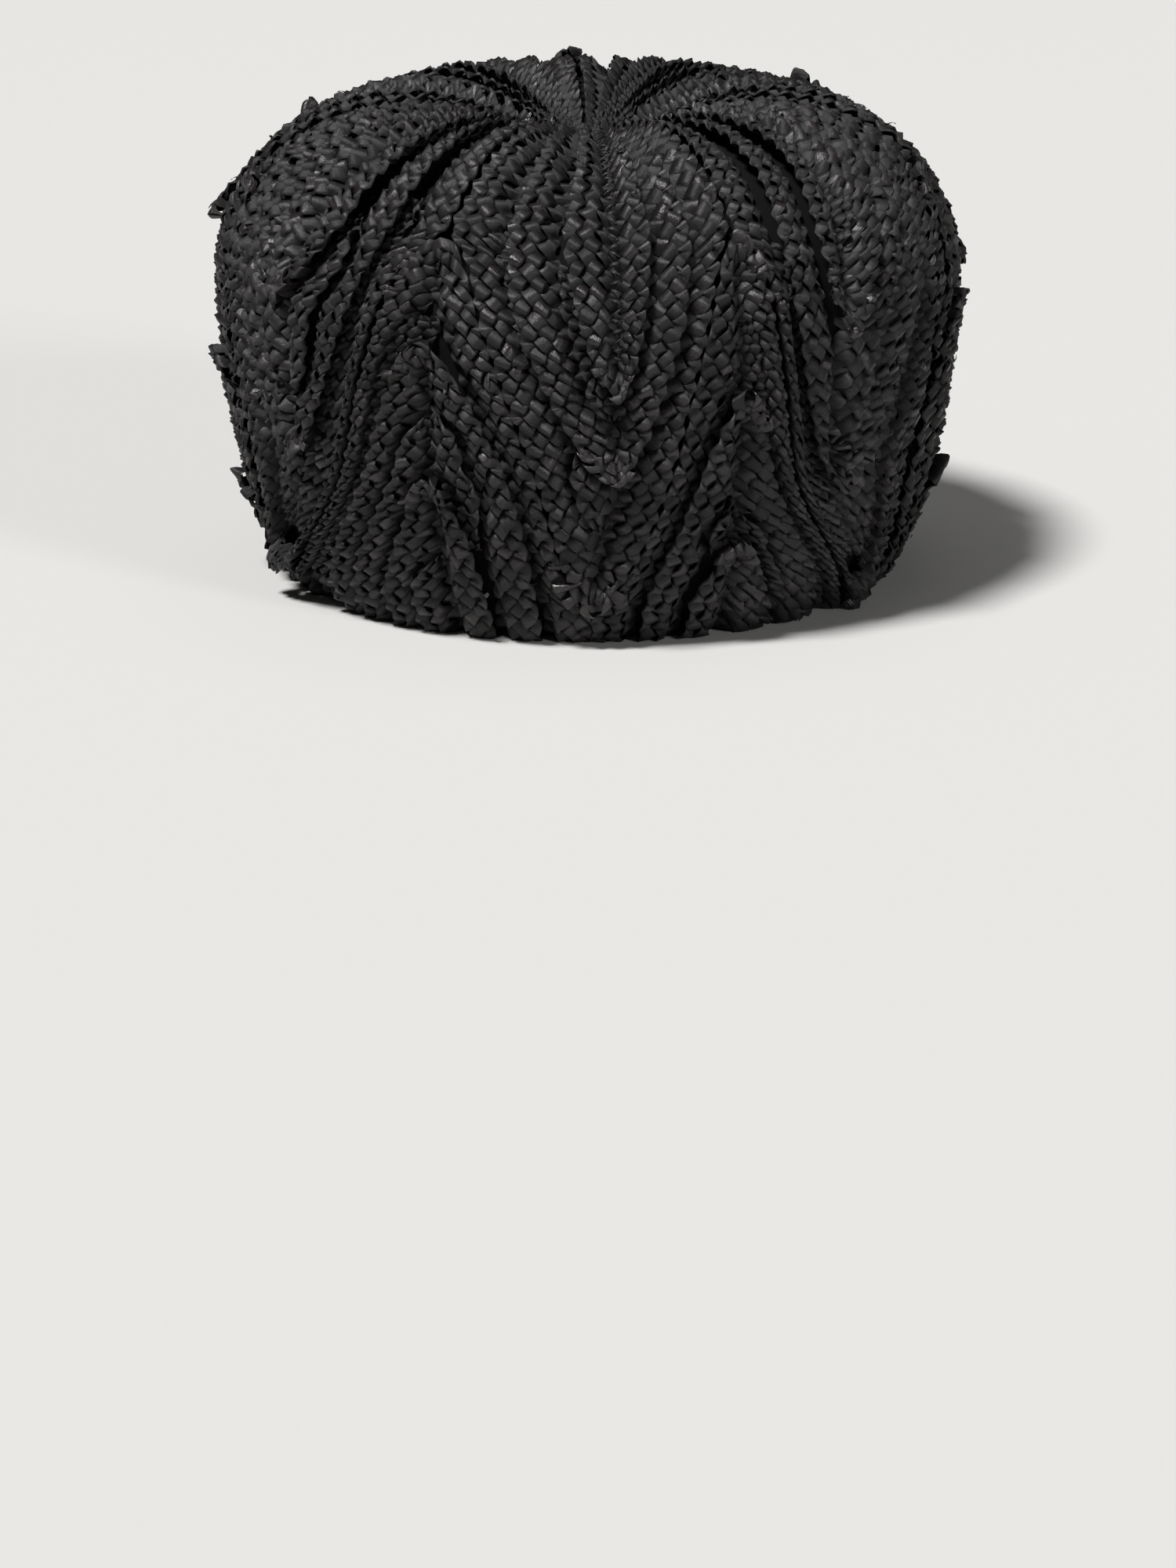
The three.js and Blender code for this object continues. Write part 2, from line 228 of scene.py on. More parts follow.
# Materials. Fibres and crumples are counts a millimetre: a fibre every 0.3 mm across and every 11 mm along,
# and a crumple every 1.1 mm. The weave's period is two threads, each 0.4 mm
# The raffia's colour ramp runs from black, used for painted shade and dark cells, to a lighter black for
# lighter cells and unshaded tops.
RAFFIA_SHADED_AND_DARK = "020202"
RAFFIA_WORN_AND_LIT = "1f1a1b"
RAFFIA_DULL = 0.8
RAFFIA_SATIN = 0.27
FIBRES_ACROSS = 3.2
FIBRES_ALONG = 0.09
CRUMPLES = 0.9
CRUMPLE_TO_FIBRE = 1.2
FIBRE_TO_TONE = 0.35
FIBRE_RELIEF = 0.4
CLOTH_BLACK = "040404"
WEAVE_PERIOD = 0.8
WEAVE_RELIEF = 0.1
FLOOR_PALE = "bfbebc"
ROOM_PALE = "f4f4f2"
ROOM_STRENGTH = 0.04

# Stage, in metres. Each lamp has its kind, place, power and softness, and faces the hat's middle
FLOOR_HALF = 40
HAT_MIDDLE = (0.0, 0.0, 0.07)
LAMPS = {
    "key": ("SUN", (-0.55, -0.55, 1.6), 4.8, {"angle": 0.22}),
    "fill": ("SUN", (1.3, -1.5, 0.9), 0.9, {"angle": 0.2}),
    "top": ("AREA", (0.2, 0.6, 3.0), 6, {"size": 1.6}),
}

# Camera. The photo's frame is 1500 by 2000 pixels of 0.2475 mm at the hat. The hat fills its upper half,
# seen from 12 degrees above
PIXEL = 0.2475
PHOTO_HEIGHT = 2000
AIM_BELOW_HAT = 560
CAMERA_ELEVATION = math.radians(12)
CAMERA_DISTANCE = 2.0
SENSOR = 36


def smooth(x, start, end):
    """0 before start, 1 after end, and 3t^2 - 2t^3 between."""
    t = np.clip((x - start) / (end - start), 0, 1)
    return t * t * (3 - 2 * t)


def pair(first, second):
    """Two arrays, broadcast together and laid side by side in a last axis of 2."""
    return np.stack(np.broadcast_arrays(first, second), axis=-1)


def cap_outline():
    """Half outline (radius, height, path, outward direction) from rim to crest to dimple centre. The wall is
    a superellipse quarter, the shoulder an ellipse quarter and the dimple a quarter cosine."""
    turn = np.linspace(0, np.pi / 2, OUTLINE_STEPS)
    power = 2 / WALL_ROUNDNESS
    low_out, low_up = np.sin(turn) ** power, 1 - np.clip(np.cos(turn), 0, 1) ** power
    wall = [RIM_HALF_WIDTH + (BODY_HALF_WIDTH - RIM_HALF_WIDTH) * low_out, WIDEST_HEIGHT * low_up]
    shoulder = [
        CREST_HALF_WIDTH + (BODY_HALF_WIDTH - CREST_HALF_WIDTH) * np.cos(turn),
        WIDEST_HEIGHT + (CREST_HEIGHT - WIDEST_HEIGHT) * np.sin(turn),
    ]
    share = turn / (np.pi / 2)
    dimple = [CREST_HALF_WIDTH * (1 - share), CREST_HEIGHT - DIMPLE_DEPTH * (1 - np.cos(turn))]
    r, z = np.concatenate([np.array(wall), np.array(shoulder)[:, 1:], np.array(dimple)[:, 1:]], axis=1)
    path = np.concatenate([[0], np.cumsum(np.hypot(np.diff(r), np.diff(z)))])
    along = np.stack([np.gradient(r, path), np.gradient(z, path)])
    along /= np.linalg.norm(along, axis=0)
    return r, z, path, along[1], -along[0]


CAP_R, CAP_Z, CAP_PATH, CAP_OUT_R, CAP_OUT_Z = cap_outline()
CREST = np.argmax(CAP_Z)
CREST_PATH = CAP_PATH[CREST]
SHOULDER_PATH = np.interp(WIDEST_HEIGHT, CAP_Z[:CREST], CAP_PATH[:CREST])
END_PATH = CAP_PATH[-1]


def on_cap(path, azimuth, height):
    """Point on the cap at a path length and an azimuth, height out along its normal. The plan is an ellipse:
    x = r sin a, y = -DEPTH_TO_WIDTH r cos a."""
    path, a = np.broadcast_arrays(path, np.radians(azimuth))
    r, z = np.interp(path, CAP_PATH, CAP_R), np.interp(path, CAP_PATH, CAP_Z)
    out_r, out_z = np.interp(path, CAP_PATH, CAP_OUT_R), np.interp(path, CAP_PATH, CAP_OUT_Z)
    point = np.stack([r * np.sin(a), -DEPTH_TO_WIDTH * r * np.cos(a), z], axis=-1)
    normal = [DEPTH_TO_WIDTH * out_r * np.sin(a), -out_r * np.cos(a), DEPTH_TO_WIDTH * out_z]
    normal = np.stack(normal, axis=-1)
    normal /= np.linalg.norm(normal, axis=-1, keepdims=True)
    point = point + normal * np.asarray(height)[..., None]
    point[..., :2] += CAP_CENTRE
    return point


def scale_at(path, azimuth):
    """Millimetres along the cap for one degree of azimuth."""
    a = np.radians(azimuth)
    return np.radians(np.interp(path, CAP_PATH, CAP_R)) * np.hypot(np.cos(a), DEPTH_TO_WIDTH * np.sin(a))


def azimuth_of(family, path):
    """The family's own line: its rim azimuth, eased to its wall azimuth and then to its crown azimuth."""
    crown, wall, rim = family.azimuths
    low = smooth(path, RIM_BEND[0] * CREST_PATH, RIM_BEND[1] * CREST_PATH)
    high = smooth(path, CROWN_BEND[0] * CREST_PATH, CROWN_BEND[1] * CREST_PATH)
    return rim + (wall - rim) * low + (crown - wall) * high


def fold_path(family, level):
    """Path length at the height of the family's fold of that level."""
    return float(np.interp(family.folds[level] * CREST_HEIGHT, CAP_Z[:CREST], CAP_PATH[:CREST]))


def beside(kind, index, side):
    """The family of the other kind on side -1 or +1, and the turn in degrees that unwraps it."""
    others = FAMILIES["rise" if kind == "fall" else "fall"]
    place = index + (min(side, 0) if kind == "fall" else max(side, 0))
    return others[place % len(others)], 360.0 * (place // len(others))


def line_offset(kind, index, side, line, path):
    """Degrees from the family's own line to one of its borders: line 0 is shared with the next family and
    opens as an arcsine, lines 1 and 2 lie between nested loops and open as a power from their own fold, and
    line 3 is the seam."""
    family = FAMILIES[kind][index]
    if line == len(LEVELS):
        return np.zeros_like(path)
    other, unwrap = beside(kind, index, side)
    span = azimuth_of(other, path) + unwrap - azimuth_of(family, path)
    own, far = fold_path(family, line), fold_path(other, 0)
    share = np.clip((path - own) / (far - own), 0, 1)
    opened = 0.5 + np.arcsin(2 * share - 1) / np.pi if line == 0 else share**FOLD_ROUNDNESS
    return span * opened * (1 - line / len(LEVELS))


def leg_span(kind, index, level, side, path):
    """Outer and inner border of a leg, in millimetres from the family's own line. Two families meet edge
    over edge. Loops of one family leave a narrow gap, which is wider towards the crown."""
    scale = scale_at(path, azimuth_of(FAMILIES[kind][index], path))
    outer = np.abs(line_offset(kind, index, side, level, path)) * scale
    border = np.abs(line_offset(kind, index, side, level + 1, path)) * scale
    gap = np.minimum(CROWN_GAP[level], WIDEST_GAP * (outer - border))
    gap = gap * smooth(path, SHOULDER_PATH, CREST_PATH)
    return outer + EDGE_PAST_BORDER[level] - gap, border


def rib_share(kind, index, level, side, path):
    """How far a leg stands on edge: an outer leg's own share below the shoulder, and none near a rising
    fold."""
    if level > 0:
        return 0 * path
    family = FAMILIES[kind][index]
    on_edge = family.on_edge[(side + 1) // 2] * (1 - smooth(path, SHOULDER_PATH, SHOULDER_PATH + RIB_FADE))
    if kind == "rise":
        on_edge = on_edge * smooth(fold_path(family, level) - path, FOLD_LENGTH, FOLD_LENGTH + RIB_FADE)
    return on_edge


def split_share(shown):
    """Share of a leg that its upper row shows: none up to one braid's width, half where two are needed."""
    return 0.5 * smooth(shown, ONE_ROW, TWO_ROWS)


def leg_edges(kind, index, level, side, path, row):
    """Outer and inner azimuth of one row of a leg at path lengths, how far it is set on edge, how far it
    stands off and which share of it is hidden.

    The upper row's outer edge is the split: up to half way across where a leg is wider than one braid, and
    a rib's width from the outer edge where the leg is on edge. Each row goes on inwards under the next until
    it has the braid's width. Its room for that ends near the family's own line, or within half of what it
    shows where it lies on that line. Its stand falls off from the fold as a square."""
    family = FAMILIES[kind][index]
    centre = azimuth_of(family, path)
    scale = scale_at(path, centre)
    outer, border = leg_span(kind, index, level, side, path)
    on_edge = rib_share(kind, index, level, side, path)
    shown = np.maximum(outer - border, LEAST_SHOWN)
    split = split_share(shown)
    split = split + (np.maximum(1 - RIB_WIDTH / shown, 0) - split) * on_edge
    line = border + shown * split
    if row == "upper":
        outer, inner = line + ROW_OVERLAP, border
    else:
        inner = line
    shown = np.maximum(outer - inner, LEAST_SHOWN)
    room = 0.95 * inner + 0.45 * shown * (1 - smooth(inner, 0, 6))
    tuck = np.minimum(np.clip(BRAID_WIDTH - shown, LEAST_TUCK, DEEPEST_TUCK), room)
    if row == "lower":
        tuck = tuck * (1 - on_edge)
    else:
        on_edge = -on_edge
    inner = np.minimum(inner - tuck, outer - 1.0)
    hidden = tuck / (outer - inner)
    reach = WAY[kind] * (path - fold_path(family, level)) / FOLD_STAND_REACH
    stand = FOLD_STAND * family.stands[level] * np.clip(1 - reach, 0, 1) ** 2
    return centre + side * outer / scale, centre + side * inner / scale, on_edge, stand, hidden


def moving_mean(values, reach):
    """Mean over 2 reach + 1 neighbours, with the ends held."""
    padded = np.concatenate([np.repeat(values[:1], reach), values, np.repeat(values[-1:], reach)])
    kernel = np.ones(2 * reach + 1) / (2 * reach + 1)
    return np.convolve(padded, kernel, mode="valid")


def strip_table(rows):
    """A band as a table along its middle line: eased rows of outer and inner edge (path, azimuth), on_edge,
    stand and hidden, with the length along the middle and the width there."""
    eased = np.stack([moving_mean(row, EASE_SAMPLES) for row in rows])
    outer_point = on_cap(eased[0], eased[1], MIDDLE_LIFT)
    inner_point = on_cap(eased[2], eased[3], MIDDLE_LIFT)
    middle = (outer_point + inner_point) / 2
    length = np.concatenate([[0], np.cumsum(np.linalg.norm(np.diff(middle, axis=0), axis=1))])
    return {"length": length, "rows": eased, "width": np.linalg.norm(outer_point - inner_point, axis=1)}


def leg_path(kind, index, level):
    """Path lengths of a leg, about 1 mm apart, from its far end to where the fold begins."""
    fork = fold_path(FAMILIES[kind][index], level) + WAY[kind] * FOLD_LENGTH
    end = END_PATH - DIMPLE_START if kind == "fall" else RIM_START
    return np.linspace(end, fork, int(abs(end - fork)) + 2)


def lower_strip(kind, index, level):
    """The lower row from one leg's far end round the fold to the other's. Round the fold the outer edge
    follows the U and the inner edge stays at the crotch."""
    family = FAMILIES[kind][index]
    way, fold = WAY[kind], fold_path(family, level)
    leg = leg_path(kind, index, level)
    turn = np.linspace(0, np.pi / 2, FOLD_STEPS)[1:]
    bend_path = fold + way * FOLD_LENGTH * (1 - np.sin(turn))
    crotch_path = fold + way * FOLD_LENGTH * (1 - CROTCH_SHARE * np.sin(turn))
    own = azimuth_of(family, bend_path)
    sides = []
    for side in (-1, 1):
        outer, inner, on_edge, stand, hidden = leg_edges(kind, index, level, side, leg, "lower")
        bend = leg_edges(kind, index, level, side, bend_path, "lower")
        bend_outer = own + (bend[0] - own) * np.minimum(1, np.cos(turn) * FOLD_TIP_FULLNESS)
        past_line = (inner[-1] - azimuth_of(family, leg[-1])) * np.cos(turn)
        bend_inner = azimuth_of(family, crotch_path) + past_line
        sides.append(np.stack([
            np.concatenate([leg, bend_path]),
            np.concatenate([outer, bend_outer]),
            np.concatenate([leg, crotch_path]),
            np.concatenate([inner, bend_inner]),
            np.concatenate([on_edge, on_edge[-1] * np.cos(turn)]),
            np.concatenate([stand, bend[3]]),
            np.concatenate([hidden, hidden[-1] * np.cos(turn)]),
        ]))
    return strip_table(np.concatenate([sides[0], sides[1][:, -2::-1]], axis=1))


def upper_strip(kind, index, level, side):
    """The upper row of one leg, over the stretch where the leg is wide or on edge. None where that stretch
    is too short to sew."""
    leg = leg_path(kind, index, level)
    outer, border = leg_span(kind, index, level, side, leg)
    wide = split_share(outer - border) > SEEN_SPLIT
    on_edge = rib_share(kind, index, level, side, leg) > SEEN_RIB
    needed = np.flatnonzero(wide | on_edge)
    if len(needed) < LEAST_SAMPLES:
        return None
    leg = leg[needed[0] : needed[-1] + 1]
    outer, inner, on_edge, stand, hidden = leg_edges(kind, index, level, side, leg, "upper")
    return strip_table(np.stack([leg, outer, leg, inner, on_edge, stand, hidden]))


def strip_point(strip, kind, level, u, across, height):
    """Point of a band at length u, across from 0 at its inner edge to 1 at its outer, height above its
    middle surface.

    A band rises from its hidden part within a few millimetres and then tilts like a shingle. Where on_edge
    is 1 it climbs steeply and rolls over into a narrow rib, and where it is -1 it lies low beside the rib.
    At the rim and in the dimple it is pressed in."""
    outer_path, outer_azimuth, inner_path, inner_azimuth, on_edge, stand, hidden = [
        np.interp(u, strip["length"], values) for values in strip["rows"]
    ]
    sunk, on_edge = np.clip(-on_edge, 0, 1), np.clip(on_edge, 0, 1)
    proud = PROUD_EDGE + NEST_LIFT * level
    proud = proud + (SUNK_EDGE - proud) * sunk
    width = np.maximum(np.interp(u, strip["length"], strip["width"]), LEAST_WIDTH)
    rise = smooth(across, hidden * 0.9, hidden + RISE_LENGTH / width)
    flat = HIDDEN_EDGE + (proud - HIDDEN_EDGE) * (RISE_SHARE * rise + (1 - RISE_SHARE) * across)
    rib = RIB_FOOT_HEIGHT + RIB_HEIGHT * smooth(across, 0.1, 0.6) - RIB_DROP * smooth(across, 0.75, 1)
    rib_across = RIB_FOOT + RIB_LEAN * across + RIB_ROLL * smooth(across, 0.35, 1)
    share = across + (rib_across - across) * on_edge
    if kind == "rise":
        near_end = 1 - smooth(outer_path, 0, RIM_SINK_LENGTH)
    else:
        near_end = smooth(outer_path, END_PATH - DIMPLE_SINK[0], END_PATH - DIMPLE_SINK[1])
    base = flat + (rib - flat) * on_edge + stand * (1 - sunk) - near_end * SINK[kind]
    path = inner_path + (outer_path - inner_path) * share
    azimuth = inner_azimuth + (outer_azimuth - inner_azimuth) * share
    point = on_cap(path, azimuth, np.maximum(base + height, LOWEST_OVER_CAP))
    point[..., 2] = np.maximum(point[..., 2], LOWEST_OVER_FLOOR)
    return point


def value_noise(rng, x, step):
    """Smooth random curve in -1..1 over x, with a new random value every step."""
    knots = np.arange(x.min() - step, x.max() + 2 * step, step)
    values = rng.uniform(-1, 1, len(knots))
    place = (x - knots[0]) / step
    i = np.floor(place).astype(int)
    t = smooth(place - i, 0, 1)
    return values[i] * (1 - t) + values[np.minimum(i + 1, len(knots) - 1)] * t


def plait_course(strip):
    """Samples along a band: travel in periods, length, and the width, the hidden share and a ribbon's width
    there. Travel sums the steps of length over the local period. A ribbon fills its share of a period, seen
    square to the strand's slope. A rib is plaited over its girth."""
    length, on_edge = strip["length"], np.clip(strip["rows"][4], 0, 1)
    width = np.maximum(strip["width"], LEAST_WIDTH) * (1 - on_edge) + RIB_GIRTH * on_edge
    period = np.clip(PERIOD_TO_WIDTH * width, SHORTEST_PERIOD, LONGEST_PERIOD)
    period = period + (RIB_PERIOD - period) * on_edge
    travel = np.concatenate([[0], np.cumsum(np.diff(length) * 2 / (period[1:] + period[:-1]))])
    at = np.linspace(0, travel[-1], int(travel[-1] * SAMPLES_A_PERIOD))
    u = np.interp(at, travel, length)
    width, period, hidden = [np.interp(u, length, row) for row in (width, period, strip["rows"][6])]
    ribbon = period / STRANDS * np.sin(np.arctan(2 * width / period)) * RIBBON_FILL
    return at, u, width, hidden, ribbon


def strand(strip, kind, level, rng, course, phase):
    """One strand of a plait as a ribbon. With p for its phase, it goes across as a triangle wave of p with
    rounded turns, and over and under as cos(2 pi STRANDS p), with its sign changed on the way back. Each
    cell tilts as sin(2 pi STRANDS p) and rolls to its own side. Its tone varies at random from cell to cell
    and is lighter at a turn, and painted shade darkens it under another strand, near where the band goes
    under the next row and along its own edges."""
    at, u, width, hidden, ribbon = course
    wave = 2 * np.abs(2 * (phase % 1) - 1) - 1
    wave = np.sin(wave * np.pi / 2) * TURN_ROUNDNESS + wave * (1 - TURN_ROUNDNESS)
    edge = smooth(np.abs(wave), TURN_START, 1.0)
    sign = np.clip(5 * np.sin(2 * np.pi * phase), -1, 1)
    over = np.tanh(CELL_FLATNESS * np.cos(2 * np.pi * STRANDS * phase)) / np.tanh(CELL_FLATNESS) * sign
    margin = np.minimum(ribbon * 0.34, 0.4 * width)
    middle = width / 2 + wave * (width / 2 - margin) + WANDER * value_noise(rng, u, WANDER_STEP)
    half = ribbon / 2 * (1 + WIDTH_CHANGE * value_noise(rng, u, WIDTH_STEP)) * (1 - TURN_NARROWING * edge)
    slope_u, slope_v = np.gradient(u), np.gradient(middle)
    norm = np.hypot(slope_u, slope_v) + 1e-9
    side_u, side_v = -slope_v / norm, slope_u / norm
    roll = ROLL_CHANGE * value_noise(rng, u, ROLL_STEP) + CELL_ROLL * sign * (1 - edge)
    roll = roll + TURN_ROLL * edge * np.sign(wave) * np.sign(side_v)
    tilt = CELL_TILT * np.sin(2 * np.pi * STRANDS * phase) * sign
    tilt = tilt + TILT_CHANGE * value_noise(rng, u, TILT_STEP)
    lift = OVER_UNDER * over + tilt * (1 - edge) + TURN_LIFT * edge
    cross = RIBBON_SECTION
    along = np.clip(u[:, None] + side_u[:, None] * cross * half[:, None], 0, strip["length"][-1])
    across = (middle[:, None] + side_v[:, None] * cross * half[:, None]) / width[:, None]
    height = lift[:, None] + RIBBON_ARCH + roll[:, None] * cross * ROLL_TO_HEIGHT
    points = strip_point(strip, kind, level, along, across, height)
    run = np.concatenate([[0], np.cumsum(np.hypot(np.diff(u), np.diff(middle)))])
    fibre = pair(run[:, None] + FIBRE_SHIFT * rng.random(), cross * half[:, None])
    cell = 0.5 + 0.5 * value_noise(rng, at * STRANDS, TONE_STEP_IN_CELLS)
    # Random tone a cell, lighter at a turn, and painted shade where the strand dives under another.
    worn_and_lit = np.minimum(0.1 + 0.9 * cell**2 + 0.4 * edge, 1) * smooth(over, -0.8, 0.8)
    # Painted shade near where the band goes under the next row.
    painted_row_shade = smooth(across, 0.7 * hidden[:, None], hidden[:, None] + 3.0 / width[:, None])
    # The tone also carries painted shade along the ribbon's own edges.
    return points, fibre, worn_and_lit[:, None] * painted_row_shade * (1 - 0.8 * smooth(np.abs(cross), 0.7, 1.0))


def plait(strip, kind, level, rng):
    """The strands of one plaited band. The phase is the travel and a random start, and k / STRANDS more for
    strand k."""
    course = plait_course(strip)
    first = rng.random()
    phases = [course[0] + k / STRANDS + first for k in range(STRANDS)]
    return [strand(strip, kind, level, rng, course, phase) for phase in phases]


def knot_ribbons(strip, kind, level, rng):
    """Short ribbons that wrap a fold: each comes up through the plait, arches over the outer edge and is
    turned under. A few stand out as small loops. Their middle lines are t from 0 to 1: across goes out as a
    sine of t and a little back, and the height is a sine of t that drops at the end."""
    tip = strip["length"][-1] / 2
    width = np.interp(tip, strip["length"], strip["width"])
    t = np.linspace(0, 1, KNOT_STEPS)[:, None]
    meshes = []
    for k in range(KNOT_RIBBONS):
        jitter = rng.uniform(-KNOT_JITTER, KNOT_JITTER)
        place = tip + KNOT_SPACING * (k - (KNOT_RIBBONS - 1) / 2) + jitter
        skew = rng.uniform(-KNOT_SKEW, KNOT_SKEW)
        half = rng.uniform(*KNOT_HALF_WIDTH)
        reach_range = KNOT_LOOP_REACH if rng.random() < KNOT_LOOP_CHANCE else KNOT_REACH
        reach = rng.uniform(*reach_range) / width
        start = 1 - rng.uniform(*KNOT_START) / width
        across = start + (1 + reach - start) * np.sin(np.pi / 2 * np.minimum(t * 1.5, 1))
        across = across - reach * 0.8 * smooth(t, 0.7, 1)
        height = -0.8 + rng.uniform(*KNOT_RISE) * np.sin(np.pi * t**0.8) - 2.8 * smooth(t, 0.6, 1)
        u = place + skew * (t - 0.5) + KNOT_SECTION * half * (1 - 0.35 * smooth(t, 0.6, 1))
        roll = rng.uniform(-0.7, 0.7) + 0.5 * np.sin(5 * t + rng.uniform(0, 6))
        height = height + KNOT_ARCH + roll * KNOT_SECTION
        points = strip_point(strip, kind, level, u, across + 0 * u, height)
        fibre = pair(t * KNOT_LENGTH + FIBRE_SHIFT * rng.random(), KNOT_SECTION * half)
        meshes.append((points, fibre, np.full(u.shape, rng.random())))
    return meshes


def stray_ribbons(strip, kind, level, rng):
    """Short cut ends that leave the plait between two cells and lie over it or stick out past its edge. Each
    is straight over the band, narrows to half its width and rises as a part of a sine."""
    length = strip["length"][-1]
    t = np.linspace(0, 1, STRAY_STEPS)[:, None]
    cross = THREE_ACROSS
    meshes = []
    for _ in range(int(length / STRAY_SPACING)):
        place = rng.uniform(STRAY_END_ROOM, length - STRAY_END_ROOM)
        start = rng.uniform(*STRAY_START)
        away = rng.uniform(*STRAY_LENGTH)
        turn = rng.uniform(-STRAY_TURN, STRAY_TURN)
        half = rng.uniform(*STRAY_HALF_WIDTH) * (1 - 0.5 * t)
        width = np.interp(place, strip["length"], strip["width"])
        u = place + away * np.sin(turn) * t + cross * half * np.cos(turn)
        outwards = away * np.cos(turn) * t - cross * half * np.sin(turn)
        across = start + outwards * rng.choice(STRAY_WAYS) / width
        height = 0.4 + rng.uniform(*STRAY_RISE) * np.sin(np.pi * 0.6 * t) + 0.15 * cross + 0 * u
        points = strip_point(strip, kind, level, u, across, height)
        fibre = pair(t * STRAY_FIBRE + FIBRE_SHIFT * rng.random(), cross * half)
        meshes.append((points, fibre, np.full(u.shape, rng.random())))
    return meshes


def seam_stitches(kind, index, level, rng):
    """Short thread stitches, slanted by turns, over the line where the two legs of a loop meet. Each goes
    across as t from -1 to 1 and dips at its ends as t^2."""
    family = FAMILIES[kind][index]
    t = np.linspace(-1, 1, STITCH_STEPS)[:, None]
    cross = THREE_ACROSS
    meshes = []
    for place in np.arange(fold_path(family, level) + FOLD_LENGTH, END_PATH - SEAM_TOP, STITCH_SPACING):
        slant = rng.uniform(*STITCH_SLANT) * rng.choice([-1, 1])
        half = rng.uniform(*STITCH_HALF_WIDTH)
        path = place + slant * t + cross * half
        degrees = STITCH_REACH / scale_at(place, family.azimuths[0])
        azimuth = azimuth_of(family, place) + degrees * (t + 0 * cross)
        height = STITCH_HEIGHT - STITCH_DIP * t**2 - 0.15 * cross**2
        points = on_cap(path, azimuth, height + rng.uniform(-STITCH_JITTER, STITCH_JITTER))
        meshes.append((points, pair(t * STITCH_REACH, cross * half), np.full(path.shape, STITCH_TONE)))
    return meshes


def loop_ribbons(kind, index, level, rng):
    """Every row of one loop: the lower row all the way round the fold with its knot, and the upper row on
    both legs."""
    lower = lower_strip(kind, index, level)
    meshes = plait(lower, kind, level, rng)
    meshes += knot_ribbons(lower, kind, level, rng)
    meshes += stray_ribbons(lower, kind, level, rng)
    for side in (-1, 1):
        strip = upper_strip(kind, index, level, side)
        if strip is not None:
            meshes += plait(strip, kind, level, rng)
    return meshes


def sheet_mesh(name, sheets, material):
    """One mesh of grid sheets, each of points (m, n, 3) in mm with fibre (m, n, 2) and tone (m, n).
    Neighbours in the grid are joined by quads. The fibre lengths go to a map named fibre and the tones to a
    point value."""
    points = np.concatenate([s[0].reshape(-1, 3) for s in sheets]) * MM
    fibre = np.concatenate([s[1].reshape(-1, 2) for s in sheets]) * MM
    tone = np.concatenate([s[2].reshape(-1) for s in sheets])
    faces, start = [], 0
    for _, _, values in sheets:
        ids = start + np.arange(values.size).reshape(values.shape)
        quads = np.stack([ids[:-1, :-1], ids[:-1, 1:], ids[1:, 1:], ids[1:, :-1]], axis=-1)
        faces.append(quads.reshape(-1, 4))
        start += values.size
    faces = np.concatenate(faces)
    mesh = bpy.data.meshes.new(name)
    mesh.vertices.add(len(points))
    mesh.vertices.foreach_set("co", points.ravel())
    mesh.loops.add(faces.size)
    mesh.loops.foreach_set("vertex_index", faces.ravel())
    mesh.polygons.add(len(faces))
    mesh.polygons.foreach_set("loop_start", np.arange(0, faces.size, 4))
    mesh.polygons.foreach_set("use_smooth", np.ones(len(faces), dtype=bool))
    mesh.update(calc_edges=True)
    mesh.uv_layers.new(name="fibre").uv.foreach_set("vector", fibre[faces.ravel()].ravel())
    mesh.attributes.new("tone", "FLOAT", "POINT").data.foreach_set("value", tone)
    return mesh_piece(name, mesh, material)


def mesh_piece(name, mesh, material):
    """An object in the scene with that mesh and material."""
    mesh.materials.append(material)
    piece = bpy.data.objects.new(name, mesh)
    bpy.context.scene.collection.objects.link(piece)
    return piece


def cap_piece(material):
    """The cap's cloth as one sheet: down over the outside, round the rim and back up over the inside. Its
    form is the cap outline turned on an ellipse, and its inside lies CAP_WALL below. It stops PINHOLE short
    of the middle of the dimple, under the braids."""
    path = np.linspace(END_PATH - PINHOLE, 0, CAP_ROWS)
    around = np.linspace(0, 360, CAP_COLUMNS + 1)
    outside = on_cap(path[:, None], around[None], 0.0)
    inside = on_cap(path[::-1, None], around[None], -CAP_WALL)
    inner_rim = 1 - RIM_FACE / RIM_HALF_WIDTH
    inside[0] = outside[-1] * [inner_rim, inner_rim, 1]
    inside[..., 2] = np.maximum(inside[..., 2], 0.0)
    points = np.concatenate([outside, inside])
    run = np.concatenate([path, -path[::-1]])
    fibre = pair(run[:, None], around[None] * CLOTH_TO_DEGREE)
    return sheet_mesh("cap_cloth_sheet", [(points, fibre, np.zeros(points.shape[:2]))], material)


def linear(hexa):
    """sRGB hex to a linear colour."""
    parts = np.array([int(hexa[i : i + 2], 16) / 255 for i in (0, 2, 4)])
    values = np.where(parts <= 0.04045, parts / 12.92, ((parts + 0.055) / 1.055) ** 2.4)
    return (*values.tolist(), 1.0)


def add_node(tree, kind, settings=None, **links):
    """A node with its settings, and its inputs set to a value or joined to another node's socket. An input
    is named by its words with underscores, or by i and its number."""
    node = tree.nodes.new(kind)
    for key, value in (settings or {}).items():
        setattr(node, key, value)
    for key, value in links.items():
        numbered = key[0] == "i" and key[1:].isdigit()
        socket = node.inputs[int(key[1:])] if numbered else node.inputs[key.replace("_", " ")]
        if isinstance(value, bpy.types.NodeSocket):
            tree.links.new(value, socket)
        else:
            socket.default_value = value
    return node


def new_material(name):
    """A material with an empty node tree, and that tree."""
    material = bpy.data.materials.new(name)
    material.use_nodes = True
    material.node_tree.nodes.clear()
    return material, material.node_tree


